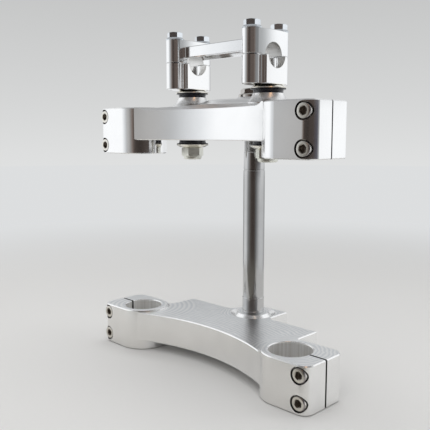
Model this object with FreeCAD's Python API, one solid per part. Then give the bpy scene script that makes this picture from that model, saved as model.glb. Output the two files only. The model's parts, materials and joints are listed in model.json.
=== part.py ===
import FreeCAD, Part
import math
import os

# Motorcycle triple clamp: a lower clamp with its pressed steering stem, an upper clamp on top of
# the stem, and rubber mounted handlebar clamps. Millimetres. +Z is up, +X is to the right hand
# side of the clamp, -Y is the front. The origin is the middle of the footprint, on the ground.

# Steering geometry
fork_spacing = 198.0        # fork tube centre to fork tube centre
fork_offset = 64.1          # from the fork line back to the steering stem
fork_tube_d = 38.0          # fork tube, which is also the bore that clamps it
clamp_gap = 160.5           # from the top of the lower bosses to the foot of the upper ones

# Fork bosses, the same outline on both clamps
boss_wall = 7.0             # metal round the fork bore
ear_reach = 36.5            # bore centre to the outboard face
ear_corner_r = 9.5
lower_boss_h = 41.3
upper_boss_h = 45.6
slot_w = 1.5                # the saw cut that lets the bore close
edge_break = 0.9            # chamfer on milled edges
bore_break = 0.8            # chamfer at the mouths of the bores
fine_break = 0.5            # chamfer on small turned and milled edges
thread_break = 0.9          # chamfer at the ends of threads

# Pinch screws, socket heads at the front
pinch_edge = 8.8            # outboard face to screw centre
pinch_from_top = 8.6        # boss top to the upper screw
lower_pinch_from_foot = 9.5
upper_pinch_from_foot = 8.4
pinch_thread_d = 8.0
pinch_head_d = 13.0
pinch_head_h = 8.0
pinch_head_sunk = 0.5       # head below the front face
pinch_bore_clear = 0.9      # radial room for the head in its counterbore
pinch_tip_short = 4.0       # screw tip short of the rear face
head_break = 0.6            # rounding of a socket head, as a chamfer
socket_af = 6.0
socket_depth = 4.2
socket_mouth = 0.3          # chamfer round a socket
socket_turn = 20.0          # how the sockets happen to stand, degrees

# Web between the bosses
web_front_r = 198.0         # hollow front face, seen from above
web_front_back = 23.6       # boss front face back to the middle of the hollow
lower_flare_r = 1.5         # cutter radius where the web meets the boss walls
upper_flare_r = 6.5

# Lower clamp
lower_web_lift = 10.0       # web underside above the boss foot
lower_web_recess = 1.9      # web top below the boss top
wing_half = 83.8            # half width of the rear wings
wing_back = 58.6            # fork line to the rear edge of the wings
wing_fillet_r = 8.0
block_half = 24.5           # half width of the stem block
block_back = 25.0           # stem axis to the rear face of the block
block_fillet_r = 7.0
stem_land_r = 15.8          # flat land that the bearing seat stands on
stem_land_drop = 0.7        # land below the boss top
stem_land_break = 3.0       # height of the chamfer round the land
stem_land_foot_r = 18.3
stem_dish_r = 23.0          # outer edge of the dish milled round the land
stem_foot_r = 19.0          # boss under the web that stands on the ground

# Upper clamp
upper_web_lift = 13.7       # web underside above the boss foot
upper_edge_drop = 3.0       # top of the hollow front face below the boss top
eye_half = 21.0             # rounding of the web behind the stem
seat_rise = 9.6             # milled seats for the mounts and the stem, above the boss top
shoulder_r = 22.0           # the crown round the stem, radius and height above the boss top
shoulder_rise = 7.5
crown_r = 44.0
crown_rise = 6.4
crown_foot_r = 64.0
crown_foot_rise = 0.9
crown_rim_r = 115.0
crown_rim_rise = -1.6
crown_bow = 0.5             # how far the crown's flank bows out at its top and in at its foot
stem_seat_r = 17.0          # flat under the stem washer
stem_seat_break = 1.0       # chamfer round that flat
bevel_back = 2.0            # how far in front of the hollow the edge bevel starts

# Steering stem
seat_d = 22.0               # lower bearing seat
seat_len = 16.0
shaft_d = 21.4
top_journal_d = 21.0        # upper bearing seat
top_journal_len = 17.0
top_journal_drop = 1.8      # thread runs this far above the foot of the upper bosses
stem_thread_d = 20.2
stem_root_d = 21.0          # pressed into the lower clamp
groove_w = 1.0
groove_depth = 0.5
stem_fit = 0.1              # radial room between the stem and each clamp
stem_end_break = 1.0        # chamfer at both ends of the stem
clip_w = 1.5
clip_wall = 2.9
clip_depth = 1.0            # depth of the groove that holds the retaining ring
clip_room = 1.2             # radial room round the retaining ring
clip_lift = 4.0             # floor of the ring's recess above the ground
stem_end_lift = 0.8         # stem end above the ground
stem_top_drop = 0.8         # stem end below the top of its nut
centre_hole_d = 8.0
centre_hole_depth = 9.0
drill_point = 0.6           # depth of a drilled hole's point, for each unit of its radius

# Stem nut and washer
stem_washer_r = 16.0
stem_washer_t = 3.3
stem_washer_break = 1.0
stem_nut_af = 25.0
stem_nut_h = 5.2
stem_nut_turn = -6.5        # corner nearest the front right diagonal, degrees

# Handlebar mounts
bar_d = 22.2
bar_half = 49.4             # mount centre to the middle
bar_set_back = 21.7         # fork line back to the handlebar
post_set_back = 26.1        # fork line back to the mount bolt
bar_rise = 41.4             # boss top up to the handlebar axis
mount_shoulder = 4.5        # mount body wider than its ears, each side
mount_half_d = 13.5         # half depth of the mount body
mount_fillet_r = 3.0
ear_pitch = 36.0            # front to rear cap bolt
ear_r = 8.6
cap_bulge = 1.1             # cap wider at the bar than at its ears, each side
cap_h = 21.8                # cap above the bar axis
split_gap = 0.4             # gap between cap and mount
bridge_half_d = 14.2        # half depth of the bridge between the caps
bridge_foot = 4.6           # bridge underside above the bar axis
bridge_h = 10.4
bridge_fillet_r = 3.0
bridge_channel = 0.9        # radial room between bar and bridge
bridge_break = 0.7

# Cap bolts, hexagon with flange
cap_bolt_d = 8.0
cap_bolt_af = 13.0
cap_bolt_head_h = 7.0
cap_flange_r = 9.0
cap_flange_t = 2.0
cap_flange_edge = 0.8       # height of the flange's rim
cap_bolt_len = 40.0
tap_runout = 3.0            # tapped hole deeper than its bolt
hex_inset = 0.3             # flat ring inside the flats where a hexagon's corners are turned off
hex_angle = 30.0            # slope of the turned off corners
hex_sides = 6
bolt_hole_clear = 0.25      # radial room of a bolt in its clearance hole
thread_clear = 0.1          # radial room of a thread in its hole

# Rubber mounting of the handlebar mounts
cone_top_r = 13.9
cone_mid_r = 16.0
cone_mid_drop = 4.5
cone_foot_r = 20.0
cone_foot_drop = 8.4
rubber_bore_r = 11.5
rubber_t = 4.2              # rubber between clamp and washer
rubber_r = 13.2
rubber_lip_r = 15.8         # thin lip against the washer
rubber_lip_t = 1.0
rubber_spigot = 18.0
spigot_clear = 0.15
cup_washer_r = 16.2
cup_washer_t = 3.0
cup_washer_rim = 1.0
cup_washer_flat_r = 12.0
sleeve_wall = 1.7
sleeve_clear = 0.15
mount_bolt_d = 12.0
mount_bolt_head_d = 16.0
mount_bolt_head_h = 7.0
mount_bolt_floor = 5.6      # metal under the bolt head
mount_bolt_head_clear = 0.3 # radial room for the head in the saddle
mount_bolt_socket_af = 8.0
mount_bolt_socket_depth = 4.5
mount_bolt_short = 0.6      # bolt end short of the nut's end
lock_nut_af = 19.0
lock_nut_h = 12.0
lock_nut_collar = 3.0
lock_collar_inset = 0.4     # collar inside the flats
lock_collar_break = 1.4
lock_nut_turn = {"left": 0.0, "right": 12.0}
cap_bolt_turn = {"front_left": 10.0, "rear_left": 8.0, "front_right": 6.0, "rear_right": 21.0}

# Worked out from the driving sizes
half_spacing = fork_spacing / 2
bore_r = fork_tube_d / 2
boss_r = bore_r + boss_wall
pinch_reach = ear_reach - pinch_edge
corner_share = 0.5 / math.cos(math.pi / hex_sides)   # corner radius of a hexagon 1 across flats
fork_y = (boss_r - fork_offset - block_back) / 2
stem_y = fork_y + fork_offset
lower_top = lower_boss_h
upper_foot = lower_top + clamp_gap
upper_top = upper_foot + upper_boss_h
lower_web_top = lower_top - lower_web_recess
upper_web_foot = upper_foot + upper_web_lift
seat_z = upper_top + seat_rise
land_z = lower_top - stem_land_drop
bar_y = fork_y + bar_set_back
bar_z = upper_top + bar_rise
post_y = fork_y + post_set_back
post_top = seat_z + rubber_t + cup_washer_t
cap_top = bar_z + cap_h
cap_half_w = ear_r + cap_bulge
mount_half_w = ear_r + mount_shoulder
post_foot = upper_web_foot - rubber_t - cup_washer_t
sleeve_r = mount_bolt_d / 2 + sleeve_clear + sleeve_wall
front_y = fork_y - boss_r
rear_y = fork_y + boss_r
sides = {"left": -1, "right": 1}
far = 400.0                 # longer than anything, for cuts that run right through
past = 1.0                  # how far a cut runs past a face, and a joined piece under one
level_match = 1e-4          # edges closer than this to a level lie in it


def at(x, y, z=0.0):
    return FreeCAD.Vector(x, y, z)


def line(a, b):
    return Part.LineSegment(a, b).toShape()


def arc(centre, radius, start, end):
    """The shorter arc about centre from start to end."""
    middle = (start + end) * 0.5 - centre
    middle.normalize()
    return Part.Arc(start, centre + middle * radius, end).toShape()


def prism(edges, z0, z1):
    """Stand the closed outline, drawn at z 0, from z0 up to z1."""
    face = Part.Face(Part.Wire(edges))
    face.translate(at(0, 0, z0))
    return face.extrude(at(0, 0, z1 - z0))


def disc(x, y, radius, z0, z1):
    return Part.makeCylinder(radius, z1 - z0, at(x, y, z0))


def rod_y(x, z, radius, y0, y1):
    return Part.makeCylinder(radius, y1 - y0, at(x, y0, z), at(0, 1, 0))


def rod_x(y, z, radius, x0, x1):
    return Part.makeCylinder(radius, x1 - x0, at(x0, y, z), at(1, 0, 0))


def box(x0, x1, y0, y1, z0, z1):
    return Part.makeBox(x1 - x0, y1 - y0, z1 - z0, at(x0, y0, z0))


def turned(x, y, profile):
    """Turn a closed profile of (radius, height) points about the vertical axis at x, y."""
    points = [at(r, 0, z) for r, z in profile]
    wire = Part.makePolygon(points + [points[0]])
    solid = Part.Face(wire).revolve(at(0, 0, 0), at(0, 0, 1), 360)
    solid.translate(at(x, y, 0))
    return solid


def turned_edges(x, y, edges):
    """Turn a closed profile of edges, drawn in the XZ plane, about the vertical axis at x, y."""
    solid = Part.Face(Part.Wire(edges)).revolve(at(0, 0, 0), at(0, 0, 1), 360)
    solid.translate(at(x, y, 0))
    return solid


def hexagon(x, y, af, z0, z1, turn):
    """A hexagonal prism. Turn is the angle of one corner from the front right diagonal."""
    corner_r = af * corner_share
    points = []
    for k in range(hex_sides + 1):
        angle = math.radians(turn - 45 + k * 360 / hex_sides)
        points.append(at(x + corner_r * math.cos(angle), y + corner_r * math.sin(angle), z0))
    return Part.Face(Part.makePolygon(points)).extrude(at(0, 0, z1 - z0))


def crown_hexagon(x, y, af, z0, z1, turn, foot=False):
    """A hexagon whose corners are turned off at the top, and at the foot if asked."""
    inner = af / 2 - hex_inset
    outer = af * corner_share + past
    slope = (outer - inner) * math.tan(math.radians(hex_angle))
    low = [(inner, z0), (outer, z0 + slope)] if foot else [(outer, z0)]
    barrel = turned(x, y, [(0, z0)] + low + [(outer, z1 - slope), (inner, z1), (0, z1)])
    return hexagon(x, y, af, z0, z1, turn).common(barrel)


def flat_edges(solid, z):
    """The edges of a solid that lie in the level plane z."""
    found = []
    for edge in solid.Edges:
        low = edge.BoundBox.ZMin
        high = edge.BoundBox.ZMax
        if abs(low - z) < level_match and abs(high - z) < level_match:
            found.append(edge)
    return found


def broken(solid, size, levels):
    """Chamfer every edge that lies in one of the given levels."""
    edges = []
    for z in levels:
        edges += flat_edges(solid, z)
    return solid.makeChamfer(size, edges)


def mirrored(half):
    other = half.mirror(at(0, 0, 0), at(1, 0, 0))
    return half.fuse(other).removeSplitter()


def boss_outline(side):
    """Round inboard, square outboard with rounded corners."""
    cx = side * half_spacing
    out = side * (half_spacing + ear_reach)
    near = side * (half_spacing + ear_reach - ear_corner_r)
    front = front_y + ear_corner_r
    rear = rear_y - ear_corner_r
    inboard = at(cx - side * boss_r, fork_y)
    return [
        Part.Arc(at(cx, rear_y), inboard, at(cx, front_y)).toShape(),
        line(at(cx, front_y), at(near, front_y)),
        arc(at(near, front), ear_corner_r, at(near, front_y), at(out, front)),
        line(at(out, front), at(out, rear)),
        arc(at(near, rear), ear_corner_r, at(out, rear), at(near, rear_y)),
        line(at(near, rear_y), at(cx, rear_y)),
    ]


def boss(side, z0, z1):
    return broken(prism(boss_outline(side), z0, z1), edge_break, (z0, z1))


def web_front():
    """The right half of the hollow front, from the middle to the boss wall, and its ends."""
    hollow = at(0, front_y + web_front_back - web_front_r)
    middle = at(0, hollow.y + web_front_r)
    along = at(half_spacing, fork_y) - hollow
    span = along.Length
    if span > web_front_r + boss_r:
        # A tighter hollow passes the boss wall and runs out on the plane of the boss fronts.
        end = at(math.sqrt(web_front_r ** 2 - (front_y - hollow.y) ** 2), front_y)
        touch = at(half_spacing, front_y)
        return [arc(hollow, web_front_r, middle, end), line(end, touch)], middle, touch
    along.normalize()
    across = at(-along.y, along.x)
    share = (span ** 2 + web_front_r ** 2 - boss_r ** 2) / (2 * span)
    aside = math.sqrt(web_front_r ** 2 - share ** 2)
    touch = hollow + along * share + across * aside
    return [arc(hollow, web_front_r, middle, touch)], middle, touch


def lower_web_outline():
    """The right half of the lower web: hollow front, wing, stem block."""
    edges, middle, touch = web_front()
    fork = at(half_spacing, fork_y)
    blend = at(wing_half + wing_fillet_r, 0)
    reach = boss_r + wing_fillet_r
    blend.y = fork_y + math.sqrt(reach ** 2 - (half_spacing - blend.x) ** 2)
    on_boss = fork + (blend - fork) * (boss_r / reach)
    on_wing = at(wing_half, blend.y)
    wing_y = fork_y + wing_back
    corner = at(wing_half, wing_y)
    root = at(block_half + block_fillet_r, wing_y)
    flank = at(block_half, wing_y + block_fillet_r)
    block_y = stem_y + block_back
    edges += [
        line(touch, fork),
        line(fork, on_boss),
        arc(blend, wing_fillet_r, on_boss, on_wing),
        line(on_wing, corner),
        line(corner, root),
        arc(at(root.x, flank.y), block_fillet_r, root, flank),
        line(flank, at(block_half, block_y)),
        line(at(block_half, block_y), at(0, block_y)),
        line(at(0, block_y), middle),
    ]
    return edges


def upper_web_outline():
    """The right half of the upper web: hollow front, and a straight flank to the stem eye."""
    edges, middle, touch = web_front()
    fork = at(half_spacing, fork_y)
    stem = at(0, stem_y)
    along = stem - fork
    span = along.Length
    along.normalize()
    across = at(-along.y, along.x) * -1
    lean = (boss_r - eye_half) / span
    normal = along * lean + across * math.sqrt(1 - lean ** 2)
    on_boss = fork + normal * boss_r
    on_eye = stem + normal * eye_half
    back = at(0, stem_y + eye_half)
    edges += [
        line(touch, fork),
        line(fork, on_boss),
        line(on_boss, on_eye),
        arc(stem, eye_half, on_eye, back),
        line(back, middle),
    ]
    return edges


def flare(side, outline, level, top, radius):
    """The cutter's radius that is left where the web meets the boss wall."""
    outer = boss_r + radius
    rise = min(radius, top - level)
    start = at(outer, 0, level)
    end_r = boss_r + radius - math.sqrt(radius ** 2 - (radius - rise) ** 2)
    end = at(end_r, 0, level + rise)
    edges = [
        arc(at(outer, 0, level + radius), radius, start, end),
        line(end, at(bore_r, 0, level + rise)),
        line(at(bore_r, 0, level + rise), at(bore_r, 0, level - past)),
        line(at(bore_r, 0, level - past), at(outer, 0, level - past)),
        line(at(outer, 0, level - past), start),
    ]
    ring = turned_edges(side * half_spacing, fork_y, edges)
    return ring.common(mirrored(prism(outline, level - past, top)))


def pinch_levels(foot, top, from_foot):
    return {"lower": foot + from_foot, "upper": top - pinch_from_top}


def cut_fork_clamp(clamp, side, foot, top, from_foot):
    """Fork bore, saw cut and two pinch screw holes at one end of a clamp."""
    cx = side * half_spacing
    clamp = clamp.cut(disc(cx, fork_y, bore_r, foot - past, top + past))
    for z, way in ((foot, 1), (top, -1)):
        point_z = z + way * (bore_break + past)
        cone = [(0, z - way * past), (bore_r + bore_break + past, z - way * past),
                (bore_r - past, point_z), (0, point_z)]
        clamp = clamp.cut(turned(cx, fork_y, cone))
    out = cx + side * (ear_reach + past)
    clamp = clamp.cut(box(min(cx, out), max(cx, out), fork_y - slot_w / 2, fork_y + slot_w / 2,
                          foot - past, top + past))
    sx = cx + side * pinch_reach
    seat_y = front_y + pinch_head_sunk + pinch_head_h
    for z in pinch_levels(foot, top, from_foot).values():
        head_room = pinch_head_d / 2 + pinch_bore_clear
        clamp = clamp.cut(rod_y(sx, z, head_room, front_y - past, seat_y))
        clamp = clamp.cut(rod_y(sx, z, pinch_thread_d / 2 + bolt_hole_clear, seat_y - past, fork_y))
        clamp = clamp.cut(rod_y(sx, z, pinch_thread_d / 2 + thread_clear, fork_y, rear_y + past))
    return clamp


def lower_clamp():
    web = mirrored(prism(lower_web_outline(), lower_web_lift, lower_web_top))
    web = broken(web, edge_break, (lower_web_lift, lower_web_top))
    land_foot = land_z - stem_land_break
    dish = [(0, land_foot), (stem_land_foot_r, land_foot), (stem_dish_r, lower_web_top),
            (stem_dish_r + past, lower_top), (0, lower_top)]
    web = web.cut(turned(0, stem_y, dish))
    clamp = web
    for side in sides.values():
        clamp = clamp.fuse(flare(side, lower_web_outline(), lower_web_top, lower_top, lower_flare_r))
        clamp = clamp.fuse(boss(side, 0, lower_top))
    land = [(0, land_foot - past), (stem_land_foot_r, land_foot - past),
            (stem_land_foot_r, land_foot), (stem_land_r, land_z), (0, land_z)]
    clamp = clamp.fuse(turned(0, stem_y, land))
    foot = broken(disc(0, stem_y, stem_foot_r, 0, lower_web_lift + past), edge_break, (0,))
    clamp = clamp.fuse(foot).removeSplitter()
    for side in sides.values():
        clamp = cut_fork_clamp(clamp, side, 0, lower_top, lower_pinch_from_foot)
    clamp = clamp.cut(disc(0, stem_y, stem_root_d / 2 + stem_fit, -past, lower_top))
    recess_r = stem_root_d / 2 - clip_depth + clip_wall + clip_room
    return clamp.cut(disc(0, stem_y, recess_r, -past, clip_lift))


def crown():
    """Everything below the milled top of the upper web, turned about the stem."""
    rim_slope = (crown_rim_rise - crown_foot_rise) / (crown_rim_r - crown_foot_r)
    edge_r = fork_spacing
    edge_rise = crown_rim_rise + rim_slope * (edge_r - crown_rim_r)
    seat = at(stem_seat_r, 0, seat_z)
    collar = at(stem_seat_r + stem_seat_break, 0, seat_z - stem_seat_break)
    shoulder = at(shoulder_r, 0, upper_top + shoulder_rise)
    brow = at(crown_r, 0, upper_top + crown_rise)
    foot = at(crown_foot_r, 0, upper_top + crown_foot_rise)
    rim = at(edge_r, 0, upper_top + edge_rise)
    middle = (brow + foot) * 0.5
    upper_bow = (brow + middle) * 0.5 + at(0, 0, crown_bow)
    lower_bow = (middle + foot) * 0.5 - at(0, 0, crown_bow)
    axis_top = at(0, 0, seat_z)
    axis_foot = at(0, 0, upper_foot)
    edges = [
        line(axis_top, seat),
        line(seat, collar),
        line(collar, shoulder),
        line(shoulder, brow),
        Part.Arc(brow, upper_bow, middle).toShape(),
        Part.Arc(middle, lower_bow, foot).toShape(),
        line(foot, rim),
        line(rim, at(edge_r, 0, upper_foot)),
        line(at(edge_r, 0, upper_foot), axis_foot),
        line(axis_foot, axis_top),
    ]
    return turned_edges(0, stem_y, edges)


def mount_cone(side):
    """The raised seat under a handlebar mount, flared into the crown."""
    top = at(cone_top_r, 0, seat_z)
    middle = at(cone_mid_r, 0, seat_z - cone_mid_drop)
    foot = at(cone_foot_r, 0, seat_z - cone_foot_drop)
    low = upper_web_foot + past
    edges = [
        Part.Arc(top, middle, foot).toShape(),
        line(foot, at(cone_foot_r, 0, low)),
        line(at(cone_foot_r, 0, low), at(0, 0, low)),
        line(at(0, 0, low), at(0, 0, seat_z)),
        line(at(0, 0, seat_z), top),
    ]
    return turned_edges(side * bar_half, post_y, edges)


def upper_clamp():
    web = mirrored(prism(upper_web_outline(), upper_web_foot, seat_z + past))
    web = broken(web, edge_break, (upper_web_foot,))
    web = web.common(crown())
    edge_z = upper_top - upper_edge_drop
    hollow_y = front_y + web_front_back - web_front_r
    inner = web_front_r - bevel_back
    outer = web_front_r + seat_rise + upper_edge_drop
    bevel = [(inner, edge_z - bevel_back), (outer, edge_z + outer - web_front_r),
             (inner, seat_z + past)]
    web = web.cut(turned(0, hollow_y, bevel))
    clamp = web
    for side in sides.values():
        clamp = clamp.fuse(mount_cone(side))
        clamp = clamp.fuse(flare(side, upper_web_outline(), edge_z, upper_top, upper_flare_r))
        clamp = clamp.fuse(boss(side, upper_foot, upper_top))
    clamp = clamp.removeSplitter()
    for side in sides.values():
        clamp = cut_fork_clamp(clamp, side, upper_foot, upper_top, upper_pinch_from_foot)
        clamp = clamp.cut(disc(side * bar_half, post_y, rubber_bore_r, upper_foot, seat_z + past))
    return clamp.cut(disc(0, stem_y, stem_thread_d / 2 + stem_fit, upper_foot, seat_z + past))


def steering_stem():
    root = stem_root_d / 2
    seat = seat_d / 2
    shaft = shaft_d / 2
    journal = top_journal_d / 2
    thread = stem_thread_d / 2
    seat_top = land_z + seat_len
    journal_top = upper_foot + top_journal_drop
    journal_foot = journal_top - top_journal_len
    top = seat_z + stem_washer_t + stem_nut_h - stem_top_drop
    clip_foot = clip_lift - clip_w
    clip_root = root - clip_depth
    groove = shaft - groove_depth
    stem = turned(0, stem_y, [
        (0, stem_end_lift), (root - stem_end_break, stem_end_lift),
        (root, stem_end_lift + stem_end_break), (root, clip_foot),
        (clip_root, clip_foot), (clip_root, clip_lift), (root, clip_lift),
        (root, land_z), (seat, land_z), (seat, seat_top - fine_break), (shaft, seat_top),
        (shaft, journal_foot - groove_w), (groove, journal_foot - groove_w), (groove, journal_foot),
        (journal, journal_foot), (journal, journal_top - fine_break), (thread, journal_top),
        (thread, top - stem_end_break), (thread - stem_end_break, top), (0, top)])
    hole = centre_hole_d / 2
    hole_foot = top - centre_hole_depth
    drill = [(0, top + past), (hole, top + past), (hole, hole_foot),
             (0, hole_foot - hole * drill_point)]
    return stem.cut(turned(0, stem_y, drill))


def stem_retaining_ring():
    """An open spring ring in the groove at the foot of the stem."""
    inner = stem_root_d / 2 - clip_depth
    ring = disc(0, stem_y, inner + clip_wall, clip_lift - clip_w, clip_lift)
    ring = ring.cut(disc(0, stem_y, inner, 0, clip_lift + past))
    return ring.cut(box(-clip_wall, clip_wall, stem_y - far, stem_y, 0, clip_lift + past))


def stem_top_washer():
    hole = stem_thread_d / 2 + stem_fit
    top = seat_z + stem_washer_t
    return turned(0, stem_y, [
        (hole, seat_z), (stem_washer_r, seat_z), (stem_washer_r, top - stem_washer_break),
        (stem_washer_r - stem_washer_break, top), (hole, top)])


def stem_top_nut():
    foot = seat_z + stem_washer_t
    top = foot + stem_nut_h
    nut = crown_hexagon(0, stem_y, stem_nut_af, foot, top, stem_nut_turn)
    return nut.cut(disc(0, stem_y, stem_thread_d / 2 + stem_fit, foot - past, top + past))


def pinch_screw(side, z):
    """Socket head cap screw along Y, head to the front."""
    sx = side * (half_spacing + pinch_reach)
    head_y = front_y + pinch_head_sunk
    seat = head_y + pinch_head_h
    tip = rear_y - pinch_tip_short
    head = Part.makeCylinder(pinch_head_d / 2, pinch_head_h, at(0, 0, 0))
    head = broken(head, head_break, (0,))
    shank = Part.makeCylinder(pinch_thread_d / 2, tip - seat, at(0, 0, pinch_head_h))
    shank = broken(shank, thread_break, (pinch_head_h + tip - seat,))
    socket = hexagon(0, 0, socket_af, -past, socket_depth, socket_turn)
    corner_r = socket_af * corner_share + socket_mouth
    mouth = Part.makeCone(corner_r, 0, corner_r)
    screw = head.fuse(shank).removeSplitter().cut(socket).cut(mouth)
    screw.rotate(at(0, 0, 0), at(1, 0, 0), -90)
    screw.translate(at(sx, head_y, z))
    return screw


def ear_points(side):
    cx = side * bar_half
    return {"front": at(cx, bar_y - ear_pitch / 2), "rear": at(cx, bar_y + ear_pitch / 2)}


def mount_quarter():
    """One quarter of the lower mount outline, about its own centre: body, fillet, round ear."""
    ear = at(0, ear_pitch / 2)
    blend_y = mount_half_d + mount_fillet_r
    reach = ear_r + mount_fillet_r
    blend = at(math.sqrt(reach ** 2 - (ear.y - blend_y) ** 2), blend_y)
    on_body = at(blend.x, mount_half_d)
    on_ear = ear + (blend - ear) * (ear_r / reach)
    tip = at(0, ear.y + ear_r)
    bulge = on_ear - ear
    angle = (math.atan2(bulge.y, bulge.x) + math.pi / 2) / 2
    middle = ear + at(math.cos(angle), math.sin(angle)) * ear_r
    corner = at(mount_half_w, mount_half_d)
    side = at(mount_half_w, 0)
    return [
        line(at(0, 0), side),
        line(side, corner),
        line(corner, on_body),
        arc(blend, mount_fillet_r, on_body, on_ear),
        Part.Arc(on_ear, middle, tip).toShape(),
        line(tip, at(0, 0)),
    ]


def bar_mount(side):
    """Lower half of a handlebar clamp, with the saddle and the bore for its mount bolt."""
    top = bar_z - split_gap / 2
    quarter = prism(mount_quarter(), post_top, top)
    half = mirrored(quarter)
    other = half.mirror(at(0, 0, 0), at(0, 1, 0))
    mount = half.fuse(other).removeSplitter()
    mount = broken(mount, fine_break, (post_top, top))
    mount.translate(at(side * bar_half, bar_y, 0))
    mount = mount.cut(rod_x(bar_y, bar_z, bar_d / 2, -far, far))
    for ear in ear_points(side).values():
        foot = cap_top - cap_bolt_len - tap_runout
        mount = mount.cut(disc(ear.x, ear.y, cap_bolt_d / 2 + thread_clear, foot, top + past))
    cx = side * bar_half
    floor = post_top + mount_bolt_floor
    head_room = mount_bolt_head_d / 2 + mount_bolt_head_clear
    mount = mount.cut(disc(cx, post_y, head_room, floor, top + past))
    hole = mount_bolt_d / 2 + bolt_hole_clear
    return mount.cut(disc(cx, post_y, hole, post_top - past, floor + past))


def cap_outline(side):
    """Cap outline: round ears joined by slightly crowned flanks that run tangent into them."""
    ears = ear_points(side)
    front = ears["front"]
    rear = ears["rear"]
    half_pitch = ear_pitch / 2
    flank_r = (cap_half_w ** 2 - ear_r ** 2 + half_pitch ** 2) / (2 * (cap_half_w - ear_r))
    middle = at(side * bar_half, bar_y)
    right = middle - at(flank_r - cap_half_w, 0)
    left = middle + at(flank_r - cap_half_w, 0)
    grow = flank_r / (flank_r - ear_r)
    front_right = right + (front - right) * grow
    rear_right = right + (rear - right) * grow
    front_left = left + (front - left) * grow
    rear_left = left + (rear - left) * grow
    tip = at(0, ear_r)
    return [
        Part.Arc(front_left, front - tip, front_right).toShape(),
        arc(right, flank_r, front_right, rear_right),
        Part.Arc(rear_right, rear + tip, rear_left).toShape(),
        arc(left, flank_r, rear_left, front_left),
    ]


def bridge_quarter():
    """One quarter of the bridge outline, about the middle of the handlebar."""
    ear = at(bar_half, ear_pitch / 2)
    blend_y = bridge_half_d + bridge_fillet_r
    reach = ear_r + bridge_fillet_r
    blend = at(bar_half - math.sqrt(reach ** 2 - (blend_y - ear.y) ** 2), blend_y)
    on_bridge = at(blend.x, bridge_half_d)
    on_ear = ear + (blend - ear) * (ear_r / reach)
    inner = at(bar_half, on_ear.y)
    return [
        line(at(0, 0), at(0, bridge_half_d)),
        line(at(0, bridge_half_d), on_bridge),
        arc(blend, bridge_fillet_r, on_bridge, on_ear),
        line(on_ear, inner),
        line(inner, at(bar_half, 0)),
        line(at(bar_half, 0), at(0, 0)),
    ]


def bar_clamp_bridge():
    """Both caps and the bridge between them, milled from one bar."""
    foot = bar_z + split_gap / 2
    low = bar_z + bridge_foot
    half = mirrored(prism(bridge_quarter(), low, low + bridge_h))
    other = half.mirror(at(0, 0, 0), at(0, 1, 0))
    bridge = half.fuse(other).removeSplitter()
    bridge = broken(bridge, bridge_break, (low, low + bridge_h))
    bridge.translate(at(0, bar_y, 0))
    bridge = bridge.cut(rod_x(bar_y, bar_z, bar_d / 2 + bridge_channel, -far, far))
    for side in sides.values():
        cap = broken(prism(cap_outline(side), foot, cap_top), fine_break, (foot, cap_top))
        bridge = bridge.fuse(cap)
    bridge = bridge.removeSplitter()
    bridge = bridge.cut(rod_x(bar_y, bar_z, bar_d / 2, -far, -bar_half + cap_half_w))
    bridge = bridge.cut(rod_x(bar_y, bar_z, bar_d / 2, bar_half - cap_half_w, far))
    for side in sides.values():
        for ear in ear_points(side).values():
            hole_r = cap_bolt_d / 2 + bolt_hole_clear
            bridge = bridge.cut(disc(ear.x, ear.y, hole_r, foot - past, cap_top + past))
    return bridge


def cap_bolt(place, turn):
    """Hexagon bolt with a flange, down through the cap into the mount."""
    top = cap_top + cap_bolt_head_h
    hex_foot = cap_top + cap_flange_t
    head = crown_hexagon(place.x, place.y, cap_bolt_af, hex_foot, top, turn)
    flange = turned(place.x, place.y, [
        (0, cap_top), (cap_flange_r, cap_top), (cap_flange_r, cap_top + cap_flange_edge),
        (cap_bolt_af / 2, hex_foot), (0, hex_foot)])
    tip = cap_top - cap_bolt_len
    shank = broken(disc(place.x, place.y, cap_bolt_d / 2, tip, cap_top), thread_break, (tip,))
    return head.fuse(flange).fuse(shank).removeSplitter()


def cup_washer(side, face_z, way):
    """A dished washer, flat against the rubber at face_z, coned on its other side."""
    hole = mount_bolt_d / 2 + bolt_hole_clear
    far_z = face_z + way * cup_washer_t
    return turned(side * bar_half, post_y, [
        (hole, face_z), (cup_washer_r, face_z), (cup_washer_r, face_z + way * cup_washer_rim),
        (cup_washer_flat_r, far_z), (hole, far_z)])


def rubber_bush(side, face_z, way):
    """A flanged bush: flange and lip outside the clamp, spigot inside its bore."""
    inner = sleeve_r + sleeve_clear
    spigot = rubber_bore_r - spigot_clear
    out_z = face_z + way * rubber_t
    lip_z = out_z - way * rubber_lip_t
    return turned(side * bar_half, post_y, [
        (inner, face_z - way * rubber_spigot), (spigot, face_z - way * rubber_spigot),
        (spigot, face_z), (rubber_r, face_z), (rubber_r, lip_z), (rubber_lip_r, lip_z),
        (rubber_lip_r, out_z), (inner, out_z)])


def mount_sleeve(side):
    """Steel tube that keeps the washers apart, so that the rubbers aren't crushed."""
    low = post_foot + cup_washer_t
    high = post_top - cup_washer_t
    tube = disc(side * bar_half, post_y, sleeve_r, low, high)
    return tube.cut(disc(side * bar_half, post_y, mount_bolt_d / 2 + sleeve_clear, 0, far))


def mount_bolt(side):
    """Low socket head bolt down through the mount, the rubbers and the clamp."""
    cx = side * bar_half
    floor = post_top + mount_bolt_floor
    head_top = floor + mount_bolt_head_h
    end = post_foot - lock_nut_h + mount_bolt_short
    head = disc(cx, post_y, mount_bolt_head_d / 2, floor, head_top)
    head = broken(head, head_break, (head_top,))
    shank = broken(disc(cx, post_y, mount_bolt_d / 2, end, floor), thread_break, (end,))
    socket_foot = head_top - mount_bolt_socket_depth
    socket = hexagon(cx, post_y, mount_bolt_socket_af, socket_foot, head_top + past, socket_turn)
    return head.fuse(shank).removeSplitter().cut(socket)


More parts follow.
